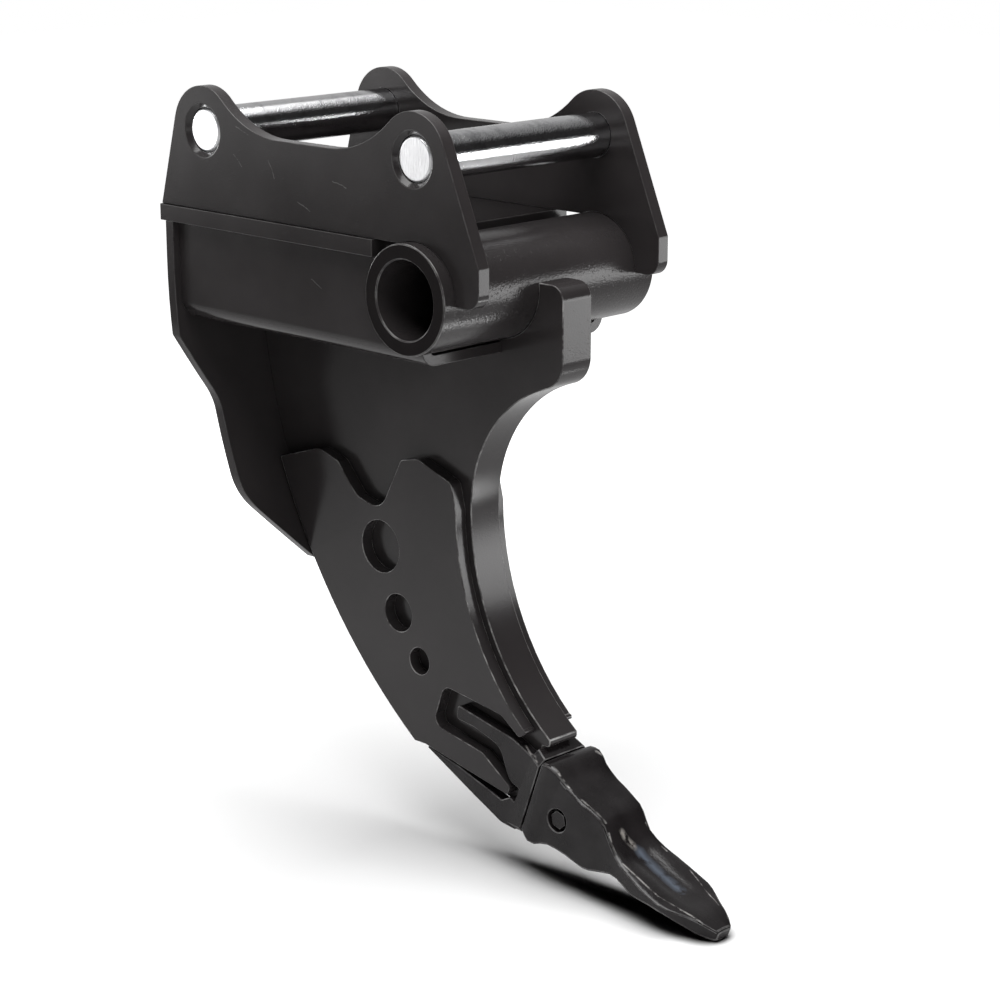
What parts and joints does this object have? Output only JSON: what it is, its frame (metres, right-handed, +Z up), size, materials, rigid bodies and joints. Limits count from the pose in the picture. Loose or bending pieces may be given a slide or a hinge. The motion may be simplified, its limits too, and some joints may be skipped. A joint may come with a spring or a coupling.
{
  "type": "ripper shank tooth",
  "caption": "Excavator ripper: a plate headstock with cross pins and a cross tube over a curved shank that ends in a cast, pinned rock tooth.",
  "frame": {"origin": "middle of the front hitch pin", "axes": "+X towards the tooth, +Y along the pins to the left, +Z up"},
  "size_m": [0.7386, 0.328, 0.8745],
  "materials": {
    "black_paint": "satin black paint with fine scratches",
    "pin_steel": "bright ground steel",
    "cast_paint": "satin black paint over a cast surface",
    "retainer_rubber": "matte"
  },
  "bodies": {
    "root": {"right_ear": "black_paint", "left_ear": "black_paint", "front_pin": "pin_steel", "rear_pin": "pin_steel", "cross_tube": "black_paint", "deck_plate": "black_paint", "back_plate": "black_paint", "right_side_panel": "black_paint", "left_side_panel": "black_paint", "shank": "black_paint", "right_cheek": "black_paint", "left_cheek": "black_paint", "adapter": "cast_paint", "tooth": "cast_paint", "tooth_pin": "cast_paint", "pin_retainer": "retainer_rubber"}
  },
  "joints": []
}
